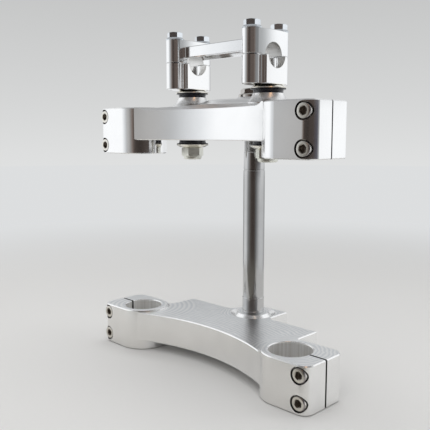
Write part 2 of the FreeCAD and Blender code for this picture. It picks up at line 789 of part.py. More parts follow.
def lock_nut(side, turn):
    """Tall self locking nut: hexagon above, round collar below."""
    cx = side * bar_half
    foot = post_foot - lock_nut_h
    hex_foot = foot + lock_nut_collar
    nut = crown_hexagon(cx, post_y, lock_nut_af, hex_foot, post_foot, turn, True)
    collar_r = lock_nut_af / 2 - lock_collar_inset
    collar = turned(cx, post_y, [
        (0, hex_foot + past), (collar_r, hex_foot + past), (collar_r, foot + lock_collar_break),
        (collar_r - lock_collar_break, foot), (0, foot)])
    nut = nut.fuse(collar).removeSplitter()
    return nut.cut(disc(cx, post_y, mount_bolt_d / 2 + thread_clear, foot - past, post_foot + past))


def build():
    nodes = {
        "lower_clamp": lower_clamp(),
        "upper_clamp": upper_clamp(),
        "steering_stem": steering_stem(),
        "stem_retaining_ring": stem_retaining_ring(),
        "stem_top_washer": stem_top_washer(),
        "stem_top_nut": stem_top_nut(),
        "bar_clamp_bridge": bar_clamp_bridge(),
    }
    lower_levels = pinch_levels(0, lower_top, lower_pinch_from_foot)
    upper_levels = pinch_levels(upper_foot, upper_top, upper_pinch_from_foot)
    for name, side in sides.items():
        for level, z in lower_levels.items():
            nodes[f"lower_clamp_screw_{name}_{level}"] = pinch_screw(side, z)
        for level, z in upper_levels.items():
            nodes[f"upper_clamp_screw_{name}_{level}"] = pinch_screw(side, z)
        nodes[f"bar_mount_{name}"] = bar_mount(side)
        for end, place in ear_points(side).items():
            nodes[f"cap_bolt_{end}_{name}"] = cap_bolt(place, cap_bolt_turn[f"{end}_{name}"])
        nodes[f"upper_cup_washer_{name}"] = cup_washer(side, seat_z + rubber_t, 1)
        nodes[f"lower_cup_washer_{name}"] = cup_washer(side, upper_web_foot - rubber_t, -1)
        nodes[f"upper_rubber_{name}"] = rubber_bush(side, seat_z, 1)
        nodes[f"lower_rubber_{name}"] = rubber_bush(side, upper_web_foot, -1)
        nodes[f"mount_sleeve_{name}"] = mount_sleeve(side)
        nodes[f"mount_bolt_{name}"] = mount_bolt(side)
        nodes[f"lock_nut_{name}"] = lock_nut(side, lock_nut_turn[name])
    return nodes


os.makedirs("parts", exist_ok=True)
for node, shape in build().items():
    shape.exportStep(f"parts/{node}.step")
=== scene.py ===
import bmesh
import bpy
import json
import math
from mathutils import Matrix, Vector


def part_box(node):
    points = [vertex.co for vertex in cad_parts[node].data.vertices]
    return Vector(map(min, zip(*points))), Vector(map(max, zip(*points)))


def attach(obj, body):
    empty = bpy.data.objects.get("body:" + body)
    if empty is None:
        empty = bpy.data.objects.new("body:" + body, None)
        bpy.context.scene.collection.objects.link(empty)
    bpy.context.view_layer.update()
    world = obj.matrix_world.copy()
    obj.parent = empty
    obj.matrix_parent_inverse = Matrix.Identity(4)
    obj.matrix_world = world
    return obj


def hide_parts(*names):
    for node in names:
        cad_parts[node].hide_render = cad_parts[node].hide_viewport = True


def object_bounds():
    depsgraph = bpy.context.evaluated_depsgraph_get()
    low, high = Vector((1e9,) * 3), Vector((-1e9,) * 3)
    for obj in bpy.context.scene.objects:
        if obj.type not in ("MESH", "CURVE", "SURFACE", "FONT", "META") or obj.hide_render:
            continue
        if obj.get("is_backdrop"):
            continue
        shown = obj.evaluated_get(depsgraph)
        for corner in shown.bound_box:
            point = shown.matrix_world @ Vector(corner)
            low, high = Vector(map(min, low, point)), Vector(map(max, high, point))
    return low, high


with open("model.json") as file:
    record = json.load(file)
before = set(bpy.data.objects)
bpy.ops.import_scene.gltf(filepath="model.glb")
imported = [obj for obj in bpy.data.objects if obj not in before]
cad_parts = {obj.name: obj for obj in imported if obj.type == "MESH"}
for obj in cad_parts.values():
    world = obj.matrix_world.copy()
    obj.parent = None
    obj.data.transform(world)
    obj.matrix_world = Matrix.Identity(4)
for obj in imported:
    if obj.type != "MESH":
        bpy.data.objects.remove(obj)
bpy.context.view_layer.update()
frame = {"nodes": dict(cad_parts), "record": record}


# Lower clamp. Milled from one aluminium billet. The web's top keeps the ripples of the cutter's
# path: rings round each fork bore and round the stem, and rows along the hollow front.

def new_material(name):
    made = bpy.data.materials.new(name)
    made.use_nodes = True
    return made, made.node_tree, made.node_tree.nodes["Principled BSDF"]


def grain_noise(tree, size, detail=3.0):
    """Noise whose grains are size metres long along X, Y and Z of the piece."""
    place = tree.nodes.new("ShaderNodeTexCoord")
    stretch = tree.nodes.new("ShaderNodeMapping")
    stretch.inputs["Scale"].default_value = [1 / s for s in size]
    noise = tree.nodes.new("ShaderNodeTexNoise")
    noise.inputs["Scale"].default_value = 1.0
    noise.inputs["Detail"].default_value = detail
    tree.links.new(place.outputs["Object"], stretch.inputs["Vector"])
    tree.links.new(stretch.outputs["Vector"], noise.inputs["Vector"])
    return noise.outputs["Fac"]


def spread(tree, value, low, high):
    """The noise value, spread from low to high."""
    scale = tree.nodes.new("ShaderNodeMapRange")
    scale.inputs["From Min"].default_value = 0.3
    scale.inputs["From Max"].default_value = 0.7
    scale.inputs["To Min"].default_value = low
    scale.inputs["To Max"].default_value = high
    tree.links.new(value, scale.inputs["Value"])
    return scale.outputs["Result"]


def raised(tree, height, depth, under=None):
    """Relief of the given depth in metres, on top of any relief under it."""
    relief = tree.nodes.new("ShaderNodeBump")
    relief.inputs["Distance"].default_value = depth
    tree.links.new(height, relief.inputs["Height"])
    if under is not None:
        tree.links.new(under, relief.inputs["Normal"])
    return relief.outputs["Normal"]


def mixed(tree, factor, a, b, way="MIX"):
    """A colour between a and b, or one laid on the other in the given way."""
    tone = tree.nodes.new("ShaderNodeMix")
    tone.data_type = "RGBA"
    tone.blend_type = way
    tree.links.new(factor, tone.inputs["Factor"])
    for socket, colour in (("A", a), ("B", b)):
        if isinstance(colour, tuple):
            tone.inputs[socket].default_value = (*colour, 1)
        else:
            tree.links.new(colour, tone.inputs[socket])
    return tone.outputs["Result"]


def worked_metal(name, colour, roughness, lay, depth, cloud=0.03, uneven=0.15):
    """Bare metal with the marks of its last tool: lay gives the marks' length along X, Y, Z."""
    made, tree, shader = new_material(name)
    shader.inputs["Metallic"].default_value = 1.0
    clouds = spread(tree, grain_noise(tree, [0.02, 0.02, 0.02]), 0.0, 1.0)
    dull = tuple(c * (1 - cloud) for c in colour)
    bright = tuple(min(1, c * (1 + cloud)) for c in colour)
    tree.links.new(mixed(tree, clouds, dull, bright), shader.inputs["Base Color"])
    marks = grain_noise(tree, lay)
    tree.links.new(
        spread(tree, marks, roughness * (1 - uneven), roughness * (1 + uneven)),
        shader.inputs["Roughness"])
    tree.links.new(raised(tree, marks, depth), shader.inputs["Normal"])
    return made, tree, shader


def source(shader, socket):
    """The output that feeds a socket of the shader so far."""
    return shader.inputs[socket].links[0].from_socket


def relief_added(tree, shader, height, depth):
    normal = raised(tree, height, depth, source(shader, "Normal"))
    tree.links.new(normal, shader.inputs["Normal"])


def stained(tree, shader, where, colour):
    """Multiply the base colour by this one where the mask is 1."""
    tree.links.new(mixed(tree, where, source(shader, "Base Color"), colour, "MULTIPLY"),
                   shader.inputs["Base Color"])


def dress(node, material):
    shape = frame["nodes"][node]
    shape.data.materials.clear()
    shape.data.materials.append(material)


def axis_distance(tree, centre, across=(1, 1, 0)):
    """Distance from an axis through centre. It is a vertical one, unless across says otherwise."""
    place = tree.nodes.new("ShaderNodeTexCoord")
    apart = tree.nodes.new("ShaderNodeVectorMath")
    apart.operation = "SUBTRACT"
    apart.inputs[1].default_value = centre
    level = tree.nodes.new("ShaderNodeVectorMath")
    level.operation = "MULTIPLY"
    level.inputs[1].default_value = across
    reach = tree.nodes.new("ShaderNodeVectorMath")
    reach.operation = "LENGTH"
    tree.links.new(place.outputs["Object"], apart.inputs[0])
    tree.links.new(apart.outputs["Vector"], level.inputs[0])
    tree.links.new(level.outputs["Vector"], reach.inputs[0])
    return reach.outputs["Value"]


def combined(tree, way, first, second):
    """One value out of two. MULTIPLY gives where two masks are both 1."""
    both = tree.nodes.new("ShaderNodeMath")
    both.operation = way
    for socket, value in zip(both.inputs, (first, second)):
        if isinstance(value, float):
            socket.default_value = value
        else:
            tree.links.new(value, socket)
    return both.outputs["Value"]


def ripples(tree, distance, pitch):
    """A wave from 0 to 1 that repeats at the given pitch."""
    wave = tree.nodes.new("ShaderNodeMath")
    wave.operation = "SINE"
    share = tree.nodes.new("ShaderNodeMath")
    share.operation = "MULTIPLY_ADD"
    share.inputs[1].default_value = 0.5
    share.inputs[2].default_value = 0.5
    tree.links.new(combined(tree, "MULTIPLY", distance, 2 * math.pi / pitch), wave.inputs[0])
    tree.links.new(wave.outputs["Value"], share.inputs[0])
    return share.outputs["Value"]


def wandering(tree, distance):
    """The distance, off by about a millimetre here and there, as a hand-fed cutter leaves it."""
    drift = spread(tree, grain_noise(tree, [0.011, 0.011, 0.011]), -0.0014, 0.0014)
    return combined(tree, "ADD", distance, drift)


def rise(tree, value, start, end):
    """0 before start and 1 after end, with a soft change between them."""
    ramp = tree.nodes.new("ShaderNodeMapRange")
    ramp.interpolation_type = "SMOOTHSTEP"
    ramp.inputs["From Min"].default_value = start
    ramp.inputs["From Max"].default_value = end
    tree.links.new(value, ramp.inputs["Value"])
    return ramp.outputs["Result"]


def position(tree, axis):
    """The place along one axis of the piece."""
    place = tree.nodes.new("ShaderNodeTexCoord")
    split = tree.nodes.new("ShaderNodeSeparateXYZ")
    tree.links.new(place.outputs["Object"], split.inputs["Vector"])
    return split.outputs[axis]


def facing(tree, axis, start, end):
    """1 where the surface faces along the axis: its normal there rises from start to end."""
    surface = tree.nodes.new("ShaderNodeNewGeometry")
    split = tree.nodes.new("ShaderNodeSeparateXYZ")
    tree.links.new(surface.outputs["Normal"], split.inputs["Vector"])
    return rise(tree, split.outputs[axis], start, end)


def blend(tree, factor, a, b):
    mix = tree.nodes.new("ShaderNodeMix")
    tree.links.new(factor, mix.inputs["Factor"])
    for socket, value in (("A", a), ("B", b)):
        if isinstance(value, float):
            mix.inputs[socket].default_value = value
        else:
            tree.links.new(value, mix.inputs[socket])
    return mix.outputs["Result"]


mounts = {m["name"]: m for m in frame["record"]["mounts"]}
left_bore = Vector(mounts["lower_fork_clamp_left"]["pos_m"])
right_bore = Vector(mounts["lower_fork_clamp_right"]["pos_m"])
stem_low, stem_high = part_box("steering_stem")
stem_x = (stem_low.x + stem_high.x) / 2
stem_y = (stem_low.y + stem_high.y) / 2
lower_finish, tree, shader = worked_metal(
    "lower_clamp_milled", (0.93, 0.93, 0.925), 0.25, [0.006, 0.006, 0.012], 0.000003,
    uneven=0.05)
cutter_step = 0.005
hollow_centre = (0, -0.232, 0)
bore_r = 0.019
left_reach, stem_reach, right_reach = 0.052, 0.030, 0.036
fade = 0.008
from_left = axis_distance(tree, left_bore)
from_right = axis_distance(tree, right_bore)
from_stem = axis_distance(tree, (stem_x, stem_y, 0))

# The cutter's path: rings near each axis, laid over the rows along the hollow front.
path = ripples(tree, wandering(tree, axis_distance(tree, hollow_centre)), cutter_step * 0.8)
path = blend(tree, rise(tree, from_left, left_reach, left_reach + fade),
             ripples(tree, from_left, cutter_step), path)
path = blend(tree, rise(tree, from_stem, stem_reach, stem_reach + fade),
             ripples(tree, wandering(tree, from_stem), cutter_step * 0.6), path)
path = blend(tree, rise(tree, from_right, right_reach, right_reach + fade),
             ripples(tree, wandering(tree, from_right), cutter_step * 0.7), path)
flat_top = facing(tree, "Z", 0.95, 0.99)
top_path = blend(tree, flat_top, 0.0, path)
stained(tree, shader, top_path, (0.80, 0.82, 0.84))
relief_added(tree, shader, top_path, 0.00004)
tree.links.new(blend(tree, flat_top, source(shader, "Roughness"), 0.34),
               shader.inputs["Roughness"])

# The bores' walls are duller, with streaks along them.
bore_streaks = spread(tree, grain_noise(tree, [0.0022, 0.0022, 0.2], 1.0), 0.0, 1.0)
near_bore = combined(tree, "MINIMUM", from_left, from_right)
bore_wall = rise(tree, near_bore, bore_r + 0.0004, bore_r + 0.0001)
stained(tree, shader, blend(tree, bore_wall, 0.0, bore_streaks), (0.82, 0.81, 0.79))
tree.links.new(blend(tree, bore_wall, source(shader, "Roughness"), 0.6),
               shader.inputs["Roughness"])
tree.links.new(blend(tree, bore_wall, 1.0, 0.75), shader.inputs["Metallic"])

# Painted shade: the lower edge is darkened as a painted contact shadow where it stands on the
# paper, and the lips of the saw cuts are darkened with painted shade.
stained(tree, shader, rise(tree, position(tree, "Z"), 0.0012, 0.0005), (0.38, 0.36, 0.34))
from_cut = axis_distance(tree, left_bore, across=(0, 1, 0))
outside = axis_distance(tree, (0, 0, 0), across=(1, 0, 0))
# Painted shade along the lips of the saw cuts, which makes the cuts look wider.
saw_cut_painted_shade = combined(
    tree, "MULTIPLY", rise(tree, from_cut, 0.0014, 0.0008),
    rise(tree, outside, right_bore.x + bore_r - 0.001, right_bore.x + bore_r))
stained(tree, shader, saw_cut_painted_shade, (0.12, 0.12, 0.12))
dress("lower_clamp", lower_finish)


# Steering stem. Turned and ground steel, pressed into the lower clamp: a bearing seat at each
# end, a groove below the upper one, and a fine thread above it that takes the stem nut.

def spin(mesh, rings, steps, turn=0.0):
    """Add a closed turned form. Each ring is (radius, height), or a function of the angle."""
    rows = []
    for ring in rings:
        corners = []
        for k in range(steps):
            angle = 2 * math.pi * k / steps
            radius, height = ring(angle) if callable(ring) else ring
            if radius == 0:
                corners = [mesh.verts.new((0, 0, height))]
                break
            corners.append(mesh.verts.new((radius * math.cos(angle + turn),
                                           radius * math.sin(angle + turn), height)))
        rows.append(corners)
    for low, high in zip(rows, rows[1:]):
        for k in range(steps):
            n = (k + 1) % steps
            if len(low) == 1:
                mesh.faces.new((low[0], high[n], high[k]))
            elif len(high) == 1:
                mesh.faces.new((low[k], low[n], high[0]))
            else:
                mesh.faces.new((low[k], low[n], high[n], high[k]))


def spin_ring(mesh, rings, steps, turn=0.0):
    """Add a turned form with a hole through it: its last ring is joined to its first."""
    spin(mesh, [*rings, rings[0]], steps, turn)
    bmesh.ops.remove_doubles(mesh, verts=mesh.verts, dist=1e-7)


def thread(major, pitch, foot, top, depth=0.55, cuts=6):
    """Rings of a screw thread from foot to top. Depth is a share of the pitch."""
    crest = 0.15
    flank = 0.65
    rows = round((top - foot) / pitch * cuts)
    rings = []
    for k in range(rows + 1):
        height = foot + (top - foot) * k / rows

        def ring(angle, height=height):
            turn = (height - foot) / pitch - angle / (2 * math.pi)
            tooth = abs(2 * (turn - math.floor(turn)) - 1)
            tooth = min(1, max(0, (tooth - crest) / flank))
            share = min(1, (height - foot) / pitch, (top - height) / pitch)
            return major - depth * pitch * tooth * share, height
        rings.append(ring)
    return rings


def made_piece(name, mesh, place, material, slot, *nodes, tilt=0.0, sharp=30):
    """Turn the mesh into a piece of the object that stands for its CAD nodes."""
    bmesh.ops.recalc_face_normals(mesh, faces=mesh.faces)
    data = bpy.data.meshes.new(name)
    mesh.to_mesh(data)
    mesh.free()
    data.shade_smooth()
    data.set_sharp_from_angle(angle=math.radians(sharp))
    data.materials.append(material)
    piece = bpy.data.objects.new(name, data)
    bpy.context.scene.collection.objects.link(piece)
    piece.location = place
    piece.rotation_euler.x = tilt
    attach(piece, "root")
    if nodes:
        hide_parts(*nodes)


stem_finish = worked_metal("stem_ground_steel", (0.57, 0.57, 0.57), 0.14,
                           [0.004, 0.004, 0.002], 0.000001, cloud=0.06, uneven=0.04)[0]
lower_land = 0.0406
stem_foot = stem_low.z
stem_top = stem_high.z
root_r = 0.0105
seat_r = stem_high.x - stem_x
shaft_r = 0.0107
journal_r = 0.0105
thread_r = 0.0101
clip_top = 0.004
clip_foot = 0.0025
clip_r = 0.0095
seat_top = 0.0566
journal_foot = 0.1866
journal_top = 0.2036
groove_foot = journal_foot - 0.001
groove_r = shaft_r - 0.0005
stem_pitch = 0.001
hole_r = 0.004
hole_foot = stem_top - 0.009
chamfer = 0.001
soft = 0.0003
form = bmesh.new()
spin(form, [
    (0, stem_foot), (root_r - chamfer, stem_foot), (root_r, stem_foot + chamfer),
    (root_r, clip_foot), (clip_r, clip_foot), (clip_r, clip_top), (root_r, clip_top),
    (root_r, lower_land), (seat_r - soft, lower_land), (seat_r, lower_land + soft),
    (seat_r, seat_top - 0.0005), (shaft_r, seat_top),
    (shaft_r, groove_foot - soft), (shaft_r - soft, groove_foot),
    (groove_r, groove_foot), (groove_r, journal_foot),
    (journal_r - soft, journal_foot), (journal_r, journal_foot + soft),
    (journal_r, journal_top - 0.0005), (thread_r, journal_top),
    *thread(thread_r, stem_pitch, journal_top, stem_top - chamfer),
    (thread_r - chamfer, stem_top), (hole_r + 0.0006, stem_top), (hole_r, stem_top - 0.0006),
    (hole_r, hole_foot), (0, hole_foot - hole_r * 0.6)], 96)
made_piece("steering_stem_turned", form, (stem_x, stem_y, 0), stem_finish, "stem",
           "steering_stem")


# Retaining ring at the foot of the stem. Blackened spring steel, sprung into its groove.
# It holds the stem up in the lower clamp.

spring_finish = worked_metal("ring_black_steel", (0.09, 0.09, 0.10), 0.32,
                             [0.003, 0.003, 0.003], 0.00001)[0]
dress("stem_retaining_ring", spring_finish)


# Upper clamp. Milled from one aluminium billet and polished. Its web crowns up to the stem,
# and two raised seats carry the handlebar mounts.

upper_finish, tree, shader = worked_metal(
    "upper_clamp_polished", (0.91, 0.91, 0.91), 0.13, [0.0012, 0.0012, 0.03], 0.000004,
    cloud=0.015)
satin_top = facing(tree, "Z", 0.15, 0.45)
tree.links.new(blend(tree, satin_top, source(shader, "Roughness"), 0.30),
               shader.inputs["Roughness"])
satin_grain = blend(tree, satin_top, 0.0, grain_noise(tree, [0.0015, 0.0015, 0.0015]))
relief_added(tree, shader, satin_grain, 0.000006)
dress("upper_clamp", upper_finish)


# Stem washer and stem nut. Steel, left plain, the nut with chamfered corners on both faces.
# It holds the upper clamp down. Every hexagon's turn is counted from the photographer's side.

photographer = -45.0
corner_slope = math.tan(math.radians(30))


def hexagon_radius(across, angle):
    sixth = math.pi / 3
    return across / 2 / math.cos(angle % sixth - sixth / 2)


def face_radius(across):
    """Radius of the round face that the chamfer leaves on a hexagon."""
    return across / 2 - 0.0003


def chamfered(across, height, way):
    """The edge of a hexagon's face. Way is 1 where the corners slope up from it, and else -1."""
    def corner(angle):
        radius = hexagon_radius(across, angle)
        return radius, height + way * max(0, radius - face_radius(across)) * corner_slope
    return corner


nut_finish = worked_metal("stem_nut_steel", (0.66, 0.63, 0.60), 0.16,
                          [0.0008, 0.0008, 0.0008], 0.000004, uneven=0.08)[0]
dress("stem_top_washer", nut_finish)
stem_nut_af = 0.025
stem_nut_bore = 0.0102
stem_nut_turn = 13.0
low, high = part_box("stem_top_nut")
nut_h = high.z - low.z
form = bmesh.new()
spin_ring(form, [
    (stem_nut_bore, 0.0005), (stem_nut_bore + 0.0005, 0), (face_radius(stem_nut_af), 0),
    chamfered(stem_nut_af, 0, 1), chamfered(stem_nut_af, nut_h, -1),
    (face_radius(stem_nut_af), nut_h), (stem_nut_bore + 0.0006, nut_h),
    (stem_nut_bore, nut_h - 0.0006)], 72, math.radians(stem_nut_turn + photographer))
made_piece("stem_top_nut_milled", form, (stem_x, stem_y, low.z), nut_finish, "stem_nut",
           "stem_top_nut")


# Pinch screws. Stainless socket head screws with a straight knurl round the head. They close
# each fork bore across its saw cut. The rounding of the heads carries a painted dark reflection,
# and the sockets carry painted shade.

def socket_edge(across, extra, height):
    """The outline of a hexagon socket at this height, wider by extra."""
    return lambda a: (hexagon_radius(across, a) + extra, height)


head_r = 0.0065
head_h = 0.008
shank_r = 0.004
socket_af = 0.006
socket_depth = 0.0042
screw_pitch = 0.00125
knurls = 36
screw_finish, tree, shader = worked_metal(
    "screw_stainless", (0.92, 0.90, 0.85), 0.25, [0.0006, 0.0006, 0.0006], 0.000008)
off_axis = axis_distance(tree, (0, 0, 0))
round_from, round_to = head_r - 0.0008, head_r - 0.0006
# Painted dark reflection on the rounding of each head.
head_rounding_painted_reflection = combined(tree, "MULTIPLY", rise(tree, position(tree, "Z"), -0.0017, -0.0013),
                     rise(tree, off_axis, round_from, round_to))
stained(tree, shader, head_rounding_painted_reflection, (0.42, 0.40, 0.42))
stained(tree, shader, rise(tree, off_axis, round_to, round_from), (0.80, 0.795, 0.775))
# Painted shade inside each socket.
stained(tree, shader, rise(tree, off_axis, socket_af / 2 + 0.001, socket_af / 2 + 0.0005),
        (0.55, 0.52, 0.51))
for side in ("left", "right"):
    for clamp in ("lower", "upper"):
        for level in ("lower", "upper"):
            node = f"{clamp}_clamp_screw_{side}_{level}"
            low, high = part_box(node)
            length = high.y - low.y
            form = bmesh.new()

            def knurl(depth, height):
                return lambda a: (head_r - depth * (0.5 + 0.5 * math.cos(knurls * a)), height)

            spin(form, [
                (0, -head_h), (head_r - 0.0004, -head_h), (head_r - 0.0001, 0.0003 - head_h),
                knurl(0.0002, 0.0006 - head_h), knurl(0.0002, -0.0014),
                (head_r - 0.0001, -0.0011), (head_r - 0.0002, -0.0006),
                (head_r - 0.0006, -0.0001), (head_r - 0.0009, 0),
                socket_edge(socket_af, 0.0005, 0), socket_edge(socket_af, 0, -0.0004),
                socket_edge(socket_af, 0, -socket_depth), (0, -socket_depth - 0.0006)],
                144, math.radians(20))
            spin(form, [
                (0, -length), (shank_r - 0.0009, -length),
                *thread(shank_r, screw_pitch, -length + 0.0005, -head_h - 0.004),
                (shank_r, -head_h), (0, -head_h)], 36)
            made_piece(node + "_turned", form,
                       ((low.x + high.x) / 2, low.y, (low.z + high.z) / 2),
                       screw_finish, "screw", node, tilt=math.pi / 2)


# Rubber bushes. Black moulded rubber, one from above and one from below in each eye of the
# upper clamp, with a thin lip against the washer.

def moulded_rubber(name, colour, roughness):
    made, tree, shader = new_material(name)
    shader.inputs["Base Color"].default_value = (*colour, 1)
    shader.inputs["Specular IOR Level"].default_value = 0.6
    skin = grain_noise(tree, [0.0006, 0.0006, 0.0006])
    tree.links.new(spread(tree, skin, roughness * 0.8, roughness * 1.2),
                   shader.inputs["Roughness"])
    tree.links.new(raised(tree, skin, 0.00003), shader.inputs["Normal"])
    return made


rubber_finish = moulded_rubber("bush_rubber_black", (0.012, 0.013, 0.019), 0.2)
sleeve_hole_r = 0.008
spigot_r = 0.01135
body_r = 0.0132
lip_r = 0.0158
lip_t = 0.001
spigot_h = 0.018
flange_h = 0.0042
for side in ("left", "right"):
    for place, way in (("upper", 1), ("lower", -1)):
        node = f"{place}_rubber_{side}"
        low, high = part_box(node)
        face = low.z + spigot_h if way > 0 else high.z - spigot_h
        form = bmesh.new()
        spin_ring(form, [(r, way * z) for r, z in (
            (sleeve_hole_r, -spigot_h), (spigot_r - 0.0008, -spigot_h),
            (spigot_r, 0.0008 - spigot_h), (spigot_r, 0), (body_r - 0.0003, 0),
            (body_r, 0.0003), (body_r, 0.0012), (body_r + 0.0001, 0.0018),
            (body_r + 0.0004, flange_h - lip_t - 0.0004), (body_r + 0.0010, flange_h - lip_t),
            (lip_r - 0.0004, flange_h - lip_t), (lip_r - 0.0001, flange_h - lip_t + 0.0002),
            (lip_r, flange_h - lip_t * 0.5), (lip_r - 0.0001, flange_h - 0.0001),
            (lip_r - 0.0003, flange_h), (sleeve_hole_r, flange_h))], 96)
        made_piece(node + "_moulded", form, ((low.x + high.x) / 2, (low.y + high.y) / 2, face),
                   rubber_finish, "bush_rubber", node, sharp=40)


# Cup washers. Pressed steel, zinc plated, with a rolled rim. They spread the bolt's load
# over the rubber.

washer_finish = worked_metal("washer_zinc", (0.93, 0.90, 0.82), 0.2,
                             [0.001, 0.001, 0.001], 0.000008, cloud=0.05)[0]
hole_room_r = 0.00625
rim_r = 0.0162
crown_r = 0.012
washer_t = 0.003
for side in ("left", "right"):
    for place, way in (("upper", 1), ("lower", -1)):
        node = f"{place}_cup_washer_{side}"
        low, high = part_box(node)
        face = low.z if way > 0 else high.z
        form = bmesh.new()
        spin_ring(form, [(r, way * z) for r, z in (
            (hole_room_r, 0), (rim_r - 0.0006, 0), (rim_r - 0.0002, 0.0001),
            (rim_r, 0.0005), (rim_r - 0.0002, 0.0009), (rim_r - 0.0006, 0.0011),
            (crown_r + 0.0006, washer_t - 0.0002), (crown_r - 0.0002, washer_t),
            (hole_room_r, washer_t))], 96)
        made_piece(node + "_pressed", form, ((low.x + high.x) / 2, (low.y + high.y) / 2, face),
                   washer_finish, "cup_washer", node)


# Spacer sleeves. Plain steel tube inside the bushes, which stops the washers from crushing
# the rubber.

for side in ("left", "right"):
    dress(f"mount_sleeve_{side}", washer_finish)


# Mount bolts. Low socket head bolts. Each head lies in the saddle of its handlebar mount, and
# the thread comes out below in a lock nut.

mount_bolt_finish = worked_metal("mount_bolt_steel", (0.78, 0.76, 0.71), 0.25,
                                 [0.0006, 0.0006, 0.0006], 0.000008)[0]
bolt_head_r = 0.008
bolt_head_h = 0.007
bolt_socket = 0.008
bolt_socket_depth = 0.0045
bolt_r = 0.006
bolt_pitch = 0.00125
for side in ("left", "right"):
    node = f"mount_bolt_{side}"
    low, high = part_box(node)
    length = high.z - low.z
    form = bmesh.new()
    spin(form, [
        (0, -bolt_head_h), (bolt_head_r - 0.0003, -bolt_head_h),
        (bolt_head_r, 0.0003 - bolt_head_h), (bolt_head_r, -0.0007),
        (bolt_head_r - 0.0003, -0.0002), (bolt_head_r - 0.0008, 0),
        socket_edge(bolt_socket, 0.0005, 0), socket_edge(bolt_socket, 0, -0.0004),
        socket_edge(bolt_socket, 0, -bolt_socket_depth), (0, -bolt_socket_depth - 0.0008)],
        72, math.radians(-25))
    spin(form, [
        (0, -length), (bolt_r - 0.0012, -length),
        *thread(bolt_r, bolt_pitch, -length + 0.0006, -length + 0.022),
        (bolt_r, -bolt_head_h), (0, -bolt_head_h)], 48)
    made_piece(node + "_turned", form, ((low.x + high.x) / 2, (low.y + high.y) / 2, high.z),
               mount_bolt_finish, "screw", node)


# Lock nuts. Zinc plated steel, tall, with a rolled collar below that grips a nylon ring.

def nylon(name, colour):
    made, tree, shader = new_material(name)
    shader.inputs["Subsurface Weight"].default_value = 0.2
    shader.inputs["Subsurface Scale"].default_value = 0.001
    haze = grain_noise(tree, [0.001, 0.001, 0.001])
    tree.links.new(mixed(tree, haze, tuple(c * 0.9 for c in colour), colour),
                   shader.inputs["Base Color"])
    shader.inputs["Roughness"].default_value = 0.4
    return made


nut_zinc = worked_metal("lock_nut_zinc", (0.84, 0.84, 0.77), 0.42,
                        [0.001, 0.001, 0.0006], 0.000008, cloud=0.05)[0]
nylon_finish = nylon("lock_nut_nylon", (0.75, 0.76, 0.74))
nut_af = 0.019
collar_h = 0.003
collar_r = nut_af / 2 - 0.0004
nut_bore = 0.0061
nylon_r = 0.0074
lock_nut_turns = {"left": -20.0, "right": 12.0}
for side in ("left", "right"):
    node = f"lock_nut_{side}"
    low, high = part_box(node)
    tall = high.z - low.z
    form = bmesh.new()
    spin_ring(form, [
        (nut_bore, collar_h), (nylon_r, collar_h), (nylon_r, 0.0008), (nylon_r - 0.0003, 0.0003),
        (nylon_r - 0.0002, 0), (nylon_r + 0.0004, 0), (collar_r - 0.0013, 0.0001),
        (collar_r - 0.0004, 0.0006), (collar_r, 0.0015), (collar_r, collar_h - 0.0001),
        (face_radius(nut_af), collar_h), chamfered(nut_af, collar_h, 1),
        chamfered(nut_af, tall, -1), (face_radius(nut_af), tall),
        (nut_bore + 0.0006, tall), (nut_bore, tall - 0.0006)],
        72, math.radians(lock_nut_turns[side] + photographer))
    place = ((low.x + high.x) / 2, (low.y + high.y) / 2, low.z)
    made_piece(node + "_rolled", form, place, nut_zinc, "lock_nut", node)
    form = bmesh.new()
    spin_ring(form, [
        (nut_bore, 0.0009), (nylon_r - 0.0001, 0.0009), (nylon_r - 0.0001, collar_h - 0.0001),
        (nut_bore, collar_h - 0.0001)], 72)
    made_piece(node + "_nylon_ring", form, place, nylon_finish, "lock_nut")


# Handlebar mounts. Milled aluminium, polished. Each has a half round saddle and two ears with
# the cap bolts' threads.

def bored_saddle(tree, shader):
    """The bar's bore keeps the dull surface of the boring tool."""
    bar = mounts["handlebar_clamp_left"]["pos_m"]
    from_bar = axis_distance(tree, bar, across=(0, 1, 1))
    wall = rise(tree, from_bar, bar_r + 0.0005, bar_r + 0.0002)
    tree.links.new(blend(tree, wall, source(shader, "Roughness"), 0.36),
                   shader.inputs["Roughness"])
    stained(tree, shader, wall, (0.86, 0.85, 0.83))


bar_r = 0.0111
mount_finish, tree, shader = worked_metal(
    "mount_polished", (0.91, 0.91, 0.91), 0.115, [0.001, 0.001, 0.02], 0.000002, cloud=0.015)
bored_saddle(tree, shader)
for side in ("left", "right"):
    dress(f"bar_mount_{side}", mount_finish)


# Handlebar caps and bridge. One piece of milled aluminium, brushed lengthways.

bridge_finish, tree, shader = worked_metal(
    "bridge_brushed", (0.91, 0.915, 0.92), 0.13, [0.03, 0.0009, 0.0009], 0.000004, cloud=0.015)
bored_saddle(tree, shader)
# Painted shade: the end faces are made darker towards the front.
end_face_painted_shade = combined(tree, "MULTIPLY", facing(tree, "X", 0.85, 0.98),
                    rise(tree, position(tree, "Y"), 0.002, -0.026))
stained(tree, shader, end_face_painted_shade, (0.84, 0.85, 0.85))
dress("bar_clamp_bridge", bridge_finish)


# Cap bolts. Hexagon bolts with a flange, bright zinc plated, with a shallow dish in the head.

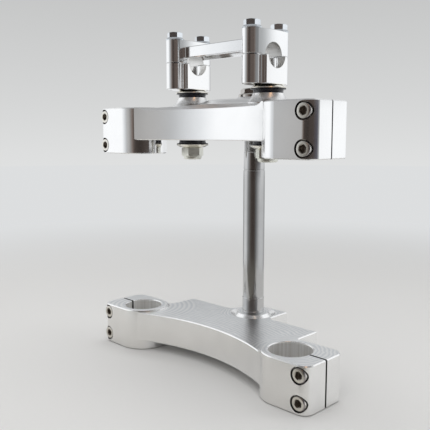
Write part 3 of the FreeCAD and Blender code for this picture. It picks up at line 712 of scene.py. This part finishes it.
bolt_finish = worked_metal("cap_bolt_zinc", (0.78, 0.82, 0.86), 0.17,
                           [0.0008, 0.0008, 0.0008], 0.000006, cloud=0.05)[0]
bolt_af = 0.013
dish_r = face_radius(bolt_af) - 0.001
cap_head_h = 0.007
flange_r = 0.009
flange_t = 0.002
cap_shank_r = 0.004
cap_shank = 0.040
bolt_turns = {"front_left": 20.0, "rear_left": 17.0, "front_right": 16.0, "rear_right": 21.0}
for corner, turn in bolt_turns.items():
    node = f"cap_bolt_{corner}"
    low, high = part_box(node)

    def head_foot(angle):
        return hexagon_radius(bolt_af, angle) - 0.0002, flange_t

    form = bmesh.new()
    spin(form, [
        (0, 0), (flange_r - 0.0003, 0), (flange_r, 0.0003), (flange_r, 0.0005),
        (flange_r - 0.0003, 0.0008), (bolt_af / 2 + 0.0011, flange_t), head_foot,
        chamfered(bolt_af, cap_head_h, -1), (face_radius(bolt_af), cap_head_h),
        (dish_r, cap_head_h), (dish_r - 0.0006, cap_head_h - 0.0004),
        (0, cap_head_h - 0.0004)],
        72, math.radians(turn + photographer))
    spin(form, [
        (0, -cap_shank), (cap_shank_r - 0.0009, -cap_shank),
        *thread(cap_shank_r, screw_pitch, -cap_shank + 0.0005, -0.012),
        (cap_shank_r, 0), (0, 0)], 36)
    made_piece(node + "_forged", form,
               ((low.x + high.x) / 2, (low.y + high.y) / 2, high.z - cap_head_h),
               bolt_finish, "flange_bolt", node)


# Paper floor and studio. A pale sheet of paper that fades into a pale backdrop, inside a tent
# of white cloth that only shows in the metal and is open towards the photographer.

paper, tree, shader = new_material("paper")
paper_fibre = grain_noise(tree, [0.003, 0.003, 0.003])
tree.links.new(mixed(tree, paper_fibre, (0.757, 0.748, 0.732), (0.777, 0.768, 0.752)),
               shader.inputs["Base Color"])
shader.inputs["Roughness"].default_value = 0.9
shader.inputs["Specular IOR Level"].default_value = 0.1
far_paper = tree.nodes.new("ShaderNodeEmission")
far_paper.inputs["Color"].default_value = (0.72, 0.732, 0.74, 1)
joined = tree.nodes.new("ShaderNodeMixShader")
tree.links.new(rise(tree, axis_distance(tree, (0, 0, 0)), 0.35, 1.05), joined.inputs["Fac"])
tree.links.new(shader.outputs["BSDF"], joined.inputs[1])
tree.links.new(far_paper.outputs["Emission"], joined.inputs[2])
below = tree.nodes.new("ShaderNodeNewGeometry")
glass = tree.nodes.new("ShaderNodeBsdfTransparent")
one_sided = tree.nodes.new("ShaderNodeMixShader")
tree.links.new(below.outputs["Backfacing"], one_sided.inputs["Fac"])
tree.links.new(joined.outputs["Shader"], one_sided.inputs[1])
tree.links.new(glass.outputs["BSDF"], one_sided.inputs[2])


def reach_along(tree, direction):
    """How far a place lies along a direction, times the direction's length."""
    place = tree.nodes.new("ShaderNodeTexCoord")
    reach = tree.nodes.new("ShaderNodeVectorMath")
    reach.operation = "DOT_PRODUCT"
    reach.inputs[1].default_value = direction
    tree.links.new(place.outputs["Object"], reach.inputs[0])
    return reach.outputs["Value"]


# Only the metal sees these: a dark floor in front, as of the room, and a duller one close by.
metal_sees = tree.nodes.new("ShaderNodeLightPath").outputs["Is Glossy Ray"]
to_the_right = combined(tree, "MAXIMUM", reach_along(tree, (0.6, 0.6, 0)), 0.0)
in_front = combined(tree, "SUBTRACT", reach_along(tree, (0.5, -0.866, 0)), to_the_right)
dark_front = combined(tree, "MULTIPLY", rise(tree, in_front, 0.158, 0.168), metal_sees)
depth = position(tree, "Y")
close_by = combined(tree, "MULTIPLY", rise(tree, depth, -0.04, -0.07),
                    rise(tree, depth, -0.19, -0.15))
stained(tree, shader, combined(tree, "MULTIPLY", close_by, metal_sees), (0.87, 0.855, 0.83))
room = tree.nodes.new("ShaderNodeEmission")
room.inputs["Color"].default_value = (0.17, 0.16, 0.14, 1)
with_room = tree.nodes.new("ShaderNodeMixShader")
tree.links.new(dark_front, with_room.inputs["Fac"])
tree.links.new(one_sided.outputs["Shader"], with_room.inputs[1])
tree.links.new(room.outputs["Emission"], with_room.inputs[2])
tree.links.new(with_room.outputs["Shader"], tree.nodes["Material Output"].inputs["Surface"])


def studio_object(name, mesh, material):
    data = bpy.data.meshes.new(name)
    mesh.to_mesh(data)
    mesh.free()
    data.materials.append(material)
    thing = bpy.data.objects.new(name, data)
    bpy.context.scene.collection.objects.link(thing)
    return thing


form = bmesh.new()
bmesh.ops.create_circle(form, cap_ends=True, segments=96, radius=4.0)
floor = studio_object("floor", form, paper)
floor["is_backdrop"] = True

cloth, tree, shader = new_material("tent_cloth")


def cloth_white(level, blue=0.03):
    return level * (1 - blue), level * (1 - blue / 2), level


def room_dark(level):
    return level * 1.25, level, level * 0.88


def shade_ramp(tree, value, shades):
    """Colours at places from 0 to 1, with even changes between them."""
    ramp = tree.nodes.new("ShaderNodeValToRGB")
    stops = ramp.color_ramp.elements
    while len(stops) < len(shades):
        stops.new(0.5)
    for stop, (share, colour) in zip(stops, shades):
        stop.position = share
        stop.color = (*colour, 1)
    tree.links.new(value, ramp.inputs["Fac"])
    return ramp.outputs["Color"]


# Tones of the cloth, each at its degrees round from the tent's right, at five heights.
foot_cloth = (
    (-180, cloth_white(0.8)), (-165, cloth_white(0.95)), (-145, cloth_white(0.95)),
    (-133, cloth_white(0.75)), (-120, cloth_white(0.4)), (-106, cloth_white(0.24, -0.04)),
    (-92, cloth_white(0.15, -0.06)), (-80, room_dark(0.08)), (-68, room_dark(0.06)),
    (-50, room_dark(0.055)), (-38, room_dark(0.075)), (-28, cloth_white(0.16)),
    (-18, cloth_white(0.26)), (-5, cloth_white(0.45)), (8, cloth_white(0.66)),
    (20, cloth_white(0.8)), (60, cloth_white(0.8)), (85, cloth_white(0.6)),
    (110, cloth_white(0.3)), (150, cloth_white(0.3)), (165, cloth_white(0.5)),
    (180, cloth_white(0.8)))
middle_cloth = (
    (-180, cloth_white(1.0)), (-168, cloth_white(1.0)), (-158, cloth_white(1.08)),
    (-137, cloth_white(1.08)), (-131, cloth_white(0.93, 0.05)), (-126, cloth_white(0.8, 0.05)),
    (-121, cloth_white(0.66, 0.05)), (-117, cloth_white(0.52, 0.04)),
    (-111, cloth_white(0.46, -0.02)), (-105, cloth_white(0.41, -0.03)),
    (-100, cloth_white(0.28, -0.04)), (-92, room_dark(0.17)), (-87, room_dark(0.08)),
    (-78, room_dark(0.04)), (-53, room_dark(0.03)), (-35, room_dark(0.045)),
    (-16, room_dark(0.05)), (5, (0.075, 0.07, 0.085)), (14, (0.1, 0.1, 0.12)),
    (22, cloth_white(0.3)), (28, cloth_white(0.55)), (35, cloth_white(1.08)),
    (70, cloth_white(1.05)), (95, cloth_white(0.85)), (140, cloth_white(0.85)),
    (165, cloth_white(0.95)), (180, cloth_white(1.0)))
high_cloth = (
    (-180, cloth_white(1.0)), (-158, cloth_white(1.08)), (-137, cloth_white(1.08)),
    (-131, cloth_white(0.93, 0.05)), (-126, cloth_white(0.8, 0.05)), (-121, cloth_white(0.62)),
    (-115, cloth_white(0.48)), (-108, cloth_white(0.38)), (-100, cloth_white(0.25, -0.04)),
    (-93, room_dark(0.15)), (-86, room_dark(0.08)), (-78, room_dark(0.045)),
    (-66, room_dark(0.045)), (-56, room_dark(0.085)), (-44, room_dark(0.09)),
    (-30, room_dark(0.085)), (-20, room_dark(0.12)), (-8, cloth_white(0.2, -0.03)),
    (3, cloth_white(0.25)), (18, cloth_white(0.27)), (22, cloth_white(0.34)),
    (28, cloth_white(0.46)), (33, cloth_white(0.6)), (37, cloth_white(0.8)),
    (41, cloth_white(1.0)), (45, cloth_white(1.08)), (70, cloth_white(1.0)),
    (95, cloth_white(0.6)), (150, cloth_white(0.6)), (165, cloth_white(0.75)),
    (180, cloth_white(1.0)))
warm_lamp = (1.3, 0.85, 0.55)
roof_dark = (0.215, 0.21, 0.215)
roof_cloth = (
    (-180, cloth_white(0.42)), (-122, cloth_white(0.42)), (-108, roof_dark),
    (-38, roof_dark), (-34, warm_lamp), (-20, warm_lamp), (-16, roof_dark),
    (20, (0.26, 0.252, 0.25)), (34, cloth_white(0.8)), (60, cloth_white(0.9)),
    (100, cloth_white(0.5)), (180, cloth_white(0.42)))
top_cloth = ((-180, cloth_white(0.42)), (180, cloth_white(0.42)))
place = tree.nodes.new("ShaderNodeTexCoord")
around = tree.nodes.new("ShaderNodeTexGradient")
around.gradient_type = "RADIAL"
tree.links.new(place.outputs["Object"], around.inputs["Vector"])
tones = [shade_ramp(tree, around.outputs["Fac"],
                    [(degrees / 360 + 0.5, colour) for degrees, colour in shades])
         for shades in (foot_cloth, middle_cloth, high_cloth, roof_cloth, top_cloth)]
seen = tones[0]
for above, start, end in ((tones[1], 0.14, 0.19), (tones[2], 0.25, 0.29),
                          (tones[3], 0.48, 0.58), (tones[4], 0.92, 1.02)):
    seen = mixed(tree, rise(tree, position(tree, "Z"), start, end), seen, above)
lit = tree.nodes.new("ShaderNodeEmission")
tree.links.new(seen, lit.inputs["Color"])
tree.links.new(lit.outputs["Emission"], tree.nodes["Material Output"].inputs["Surface"])
form = bmesh.new()
spin(form, [(0.42, 0), (0.42, 0.9), (0.30, 1.05), (0.02, 1.10)], 180)
tent = studio_object("tent", form, cloth)
tent.visible_camera = False
tent.visible_diffuse = False
tent.visible_shadow = False
tent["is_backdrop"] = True

world = bpy.data.worlds.new("backdrop")
bpy.context.scene.world = world
world.use_nodes = True
tree = world.node_tree
backdrop = tree.nodes["Background"]
view = tree.nodes.new("ShaderNodeTexCoord")
split = tree.nodes.new("ShaderNodeSeparateXYZ")
height = tree.nodes.new("ShaderNodeMapRange")
height.inputs["From Min"].default_value = -0.4
height.inputs["From Max"].default_value = 0.6
backdrop_tones = ((0.0, 0.66), (0.30, 0.77), (0.37, 0.735), (0.45, 0.67), (0.60, 0.57),
                  (1.0, 0.52))
tree.links.new(view.outputs["Generated"], split.inputs["Vector"])
tree.links.new(split.outputs["Z"], height.inputs["Value"])
tree.links.new(
    shade_ramp(tree, height.outputs["Result"],
               [(share, (level * 0.99, level, level)) for share, level in backdrop_tones]),
    backdrop.inputs["Color"])
sky = tree.nodes.new("ShaderNodeBackground")
sky.inputs["Color"].default_value = (0.97, 0.985, 1.0, 1)
sky.inputs["Strength"].default_value = 0.42
rays = tree.nodes.new("ShaderNodeLightPath")
seen = tree.nodes.new("ShaderNodeMixShader")
tree.links.new(rays.outputs["Is Camera Ray"], seen.inputs["Fac"])
tree.links.new(sky.outputs["Background"], seen.inputs[1])
tree.links.new(backdrop.outputs["Background"], seen.inputs[2])
tree.links.new(seen.outputs["Shader"], tree.nodes["World Output"].inputs["Surface"])


def softbox(name, place, target, width, depth, power):
    lamp = bpy.data.lights.new(name, "AREA")
    lamp.shape = "RECTANGLE"
    lamp.size = width
    lamp.size_y = depth
    lamp.energy = power
    box = bpy.data.objects.new(name, lamp)
    bpy.context.scene.collection.objects.link(box)
    box.location = place
    box.rotation_euler = (Vector(target) - Vector(place)).to_track_quat("-Z", "Y").to_euler()
    box.visible_camera = False
    box.visible_glossy = False


middle = (0, 0, 0.15)
softbox("overhead_softbox", (-0.1, 0.15, 1.2), middle, 0.9, 0.8, 4.8)
softbox("left_softbox", (-1.1, -0.2, 0.55), middle, 0.8, 0.8, 1.4)
softbox("right_softbox", (0.9, 0.8, 0.55), middle, 0.6, 0.8, 1.5)
softbox("front_softbox", (0.45, -0.7, 1.0), middle, 1.2, 1.0, 4.9)


# Camera. At the photograph's viewing angle, a little above the upper clamp and off its
# front right corner.

camera_data = bpy.data.cameras.new("camera")
camera_data.sensor_width = 36.0
camera_data.lens = 51.87
camera_data.clip_start = 0.01
camera = bpy.data.objects.new("camera", camera_data)
bpy.context.scene.collection.objects.link(camera)
camera.location = (0.4104, -0.43325, 0.2210)
camera.rotation_euler = (math.radians(90 - 7.41), 0, math.radians(45))
bpy.context.scene.camera = camera
bpy.context.scene.view_settings.view_transform = "Standard"

low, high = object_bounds()
